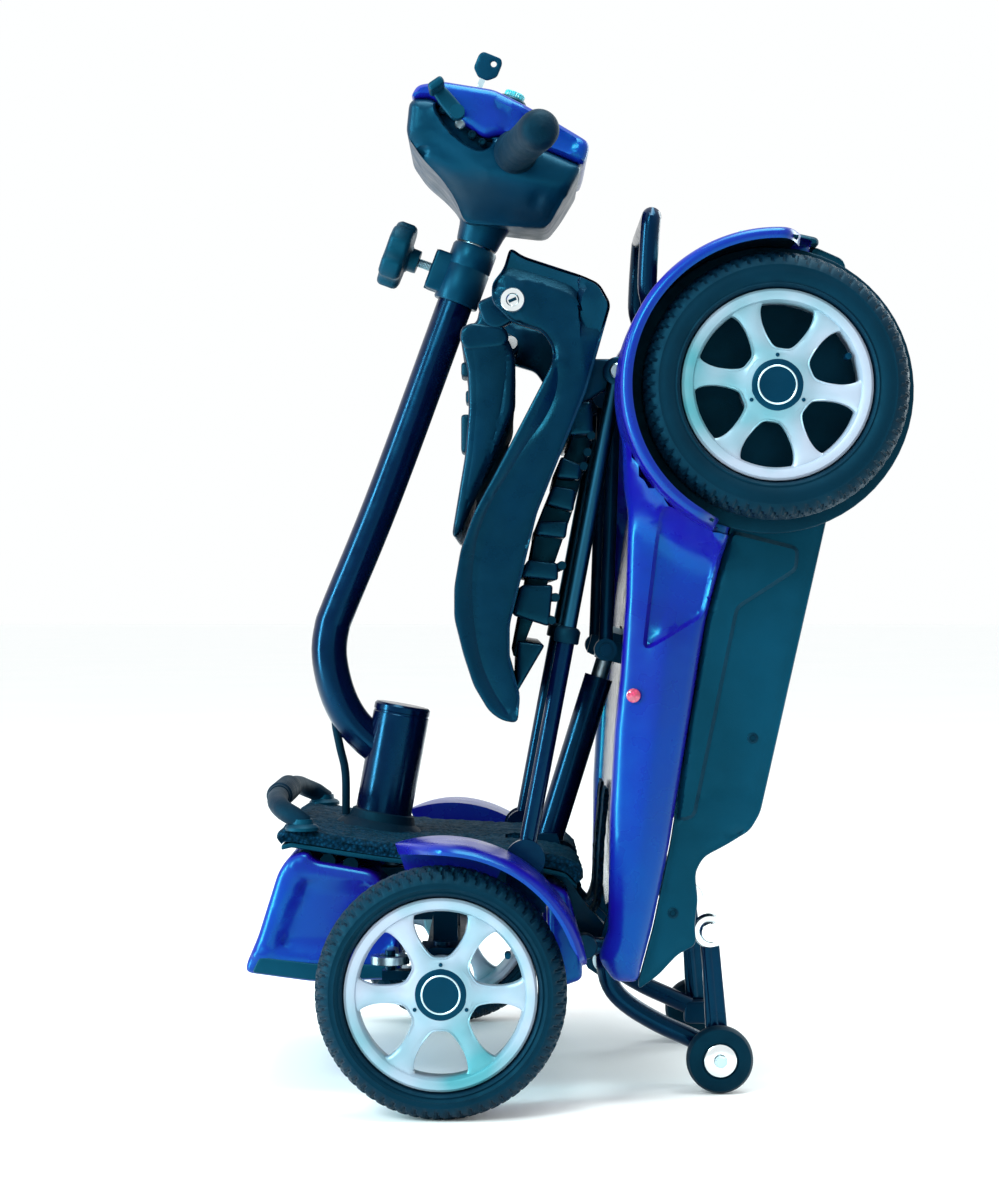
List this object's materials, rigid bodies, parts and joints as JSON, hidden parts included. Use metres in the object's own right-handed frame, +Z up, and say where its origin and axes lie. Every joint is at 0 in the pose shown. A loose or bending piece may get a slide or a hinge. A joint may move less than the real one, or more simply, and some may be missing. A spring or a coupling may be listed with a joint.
{
  "type": "folding mobility scooter",
  "caption": "Folding mobility scooter stored upright: deck and tiller in front, body swung up, seat tucked between them.",
  "frame": {"origin": "middle of the bounding box on the floor, with the folded scooter standing on its front wheels and its two small trolley wheels", "axes": "+X towards the rear of the scooter (the trolley wheel side), +Y towards the rider's right, +Z up"},
  "size_m": [0.5058, 0.524, 0.8514],
  "materials": {
    "frame_paint": "satin",
    "bare_steel": "satin",
    "tube_black": "satin",
    "blue_cover": "gloss",
    "black_cover": "gloss",
    "case_black": "matte",
    "seat_black": "matte",
    "pad_black": "matte",
    "tyre": "matte",
    "rubber": "matte",
    "wheel_grey": "satin",
    "axle_alloy": "satin",
    "head_black": "satin",
    "head_blue": "gloss",
    "knob_black": "matte"
  },
  "bodies": {
    "front_chassis": {"front_rails": "frame_paint", "front_cross_tubes": "frame_paint", "front_axle_beam": "frame_paint", "head_tube": "frame_paint", "hinge_pin": "bare_steel", "leg_pivot_brackets": "tube_black", "deck_tray": "case_black", "deck_mat": "rubber", "front_shroud": "blue_cover", "deck_tail_cover": "blue_cover", "front_fender_left": "blue_cover", "front_fender_right": "blue_cover", "front_lift_handle": "rubber", "trolley_stand_left": "frame_paint", "trolley_stand_right": "frame_paint", "stand_latch_arms": "frame_paint"},
    "trolley_left": {"trolley_wheel_left": "tyre"},
    "trolley_right": {"trolley_wheel_right": "tyre"},
    "steering": {"steering_column": "tube_black", "steering_shaft": "bare_steel", "tiller_tube": "tube_black", "tiller_cable": "rubber", "clamp_collar": "head_black"},
    "tie_rod_body": {"tie_rod": "bare_steel"},
    "knuckle_left_body": {"knuckle_left": "frame_paint"},
    "knuckle_right_body": {"knuckle_right": "frame_paint"},
    "front_wheel_left": {"front_rim_left": "wheel_grey", "front_tyre_left": "tyre"},
    "front_wheel_right": {"front_rim_right": "wheel_grey", "front_tyre_right": "tyre"},
    "head": {"head_post": "bare_steel", "head_lower_shell": "head_black", "head_upper_shell": "head_blue", "hand_grips": "rubber"},
    "height_knob": {"clamp_knob": "knob_black"},
    "throttle": {"throttle_lever": "head_black"},
    "key": {"ignition_key": "head_black"},
    "dial": {"speed_dial": "head_black"},
    "rear_chassis": {"rear_rails": "frame_paint", "rear_top_panel": "black_cover", "rear_cover_left": "blue_cover", "rear_cover_right": "blue_cover", "case_side_left": "case_black", "case_side_right": "case_black", "underbody_tray": "case_black", "rear_transaxle": "axle_alloy", "battery_pack": "case_black", "rear_carry_loop": "tube_black"},
    "rear_wheel_left": {"rear_rim_left": "wheel_grey", "rear_tyre_left": "tyre"},
    "rear_wheel_right": {"rear_rim_right": "wheel_grey", "rear_tyre_right": "tyre"},
    "seat_legs": {"seat_leg_left": "tube_black", "seat_leg_right": "tube_black"},
    "seat": {"seat_shell": "seat_black", "seat_cushion": "pad_black"},
    "back": {"backrest": "seat_black"},
    "seat_links": {"seat_support_links": "frame_paint"},
    "actuator_body": {"actuator_tube": "tube_black"},
    "actuator_piston": {"actuator_rod": "bare_steel"}
  },
  "joints": [
    {"name": "main_fold", "type": "hinge", "parent": "front_chassis", "child": "rear_chassis", "pos_m": [0.03105, 0, 0.1], "axis": [0, 1, 0], "range_deg": [0, 76]},
    {"name": "trolley_roll_left", "type": "hinge", "parent": "front_chassis", "child": "trolley_left", "pos_m": [0.12005, -0.131, 0.027], "axis": [0, 1, 0], "continuous": true},
    {"name": "trolley_roll_right", "type": "hinge", "parent": "front_chassis", "child": "trolley_right", "pos_m": [0.12005, 0.131, 0.027], "axis": [0, 1, 0], "continuous": true},
    {"name": "steer", "type": "hinge", "parent": "front_chassis", "child": "steering", "pos_m": [-0.15195, 0, 0.209], "axis": [0.1779, 0, 0.984], "range_deg": [-28, 28]},
    {"name": "kingpin_left", "type": "hinge", "parent": "front_chassis", "child": "knuckle_left_body", "pos_m": [-0.09795, -0.19, 0.095], "axis": [0, 0, 1], "range_deg": [-20, 20]},
    {"name": "kingpin_right", "type": "hinge", "parent": "front_chassis", "child": "knuckle_right_body", "pos_m": [-0.09795, 0.19, 0.095], "axis": [0, 0, 1], "range_deg": [-20, 20]},
    {"name": "tie_rod_shift", "type": "slide", "parent": "front_chassis", "child": "tie_rod_body", "axis": [0, 1, 0], "range_m": [-0.014, 0.014]},
    {"name": "front_roll_left", "type": "hinge", "parent": "knuckle_left_body", "child": "front_wheel_left", "pos_m": [-0.09795, -0.23, 0.095], "axis": [0, 1, 0], "continuous": true},
    {"name": "front_roll_right", "type": "hinge", "parent": "knuckle_right_body", "child": "front_wheel_right", "pos_m": [-0.09795, 0.23, 0.095], "axis": [0, 1, 0], "continuous": true},
    {"name": "head_height", "type": "slide", "parent": "steering", "child": "head", "axis": [0.3451, 0, 0.9386], "range_m": [0, 0.05]},
    {"name": "knob_turn", "type": "hinge", "parent": "steering", "child": "height_knob", "pos_m": [-0.08369, 0, 0.65951], "axis": [-0.9386, 0, 0.3451], "range_deg": [0, 270]},
    {"name": "throttle_push", "type": "hinge", "parent": "head", "child": "throttle", "pos_m": [-0.08795, 0, 0.783], "axis": [0, 1, 0], "range_deg": [-15, 15], "stiffness_Nm_per_rad": 0.5},
    {"name": "key_turn", "type": "hinge", "parent": "head", "child": "key", "pos_m": [-0.07595, 0, 0.8085], "axis": [0.3746, 0, 0.9272], "range_deg": [0, 90]},
    {"name": "dial_turn", "type": "hinge", "parent": "head", "child": "dial", "pos_m": [-0.04495, -0.03, 0.7993], "axis": [0.3746, 0, 0.9272], "range_deg": [0, 270]},
    {"name": "rear_roll_left", "type": "hinge", "parent": "rear_chassis", "child": "rear_wheel_left", "pos_m": [0.15295, -0.235, 0.55019], "axis": [0, 1, 0], "continuous": true},
    {"name": "rear_roll_right", "type": "hinge", "parent": "rear_chassis", "child": "rear_wheel_right", "pos_m": [0.15295, 0.235, 0.55019], "axis": [0, 1, 0], "continuous": true},
    {"name": "leg_swing", "type": "hinge", "parent": "front_chassis", "child": "seat_legs", "pos_m": [-0.03395, 0, 0.188], "axis": [0, 1, 0], "range_deg": [-0.2, 50.2]},
    {"name": "seat_tilt", "type": "hinge", "parent": "seat_legs", "child": "seat", "pos_m": [0.03805, 0, 0.569], "axis": [0, 1, 0], "range_deg": [-0.2, 26.2]},
    {"name": "back_open", "type": "hinge", "parent": "seat", "child": "back", "pos_m": [-0.04395, 0, 0.621], "axis": [0, 1, 0], "range_deg": [-0.2, 94.2]},
    {"name": "link_swing", "type": "hinge", "parent": "rear_chassis", "child": "seat_links", "pos_m": [0.03049, 0, 0.35045], "axis": [0, 1, 0], "range_deg": [-70.3, 0.2]},
    {"name": "actuator_swing", "type": "hinge", "parent": "front_chassis", "child": "actuator_body", "pos_m": [-0.01395, 0, 0.186], "axis": [0, 1, 0], "range_deg": [-0.2, 79.14]},
    {"name": "actuator_stroke", "type": "slide", "parent": "actuator_body", "child": "actuator_piston", "axis": [0.2976, 0, 0.9547], "range_m": [-0.0003, 0.11947]}
  ],
  "couplings": [
    {"joint": "leg_swing", "follows": "main_fold", "ratio": 0.65789},
    {"joint": "seat_tilt", "follows": "main_fold", "ratio": 0.34211},
    {"joint": "back_open", "follows": "main_fold", "ratio": 1.2368},
    {"joint": "link_swing", "follows": "main_fold", "ratio": -0.92105},
    {"joint": "actuator_swing", "follows": "main_fold", "ratio": 1.0373},
    {"joint": "actuator_stroke", "follows": "main_fold", "m_per_rad": 0.089691},
    {"joint": "kingpin_left", "follows": "steer", "ratio": 0.7},
    {"joint": "kingpin_right", "follows": "steer", "ratio": 0.7},
    {"joint": "tie_rod_shift", "follows": "steer", "m_per_rad": -0.028}
  ]
}
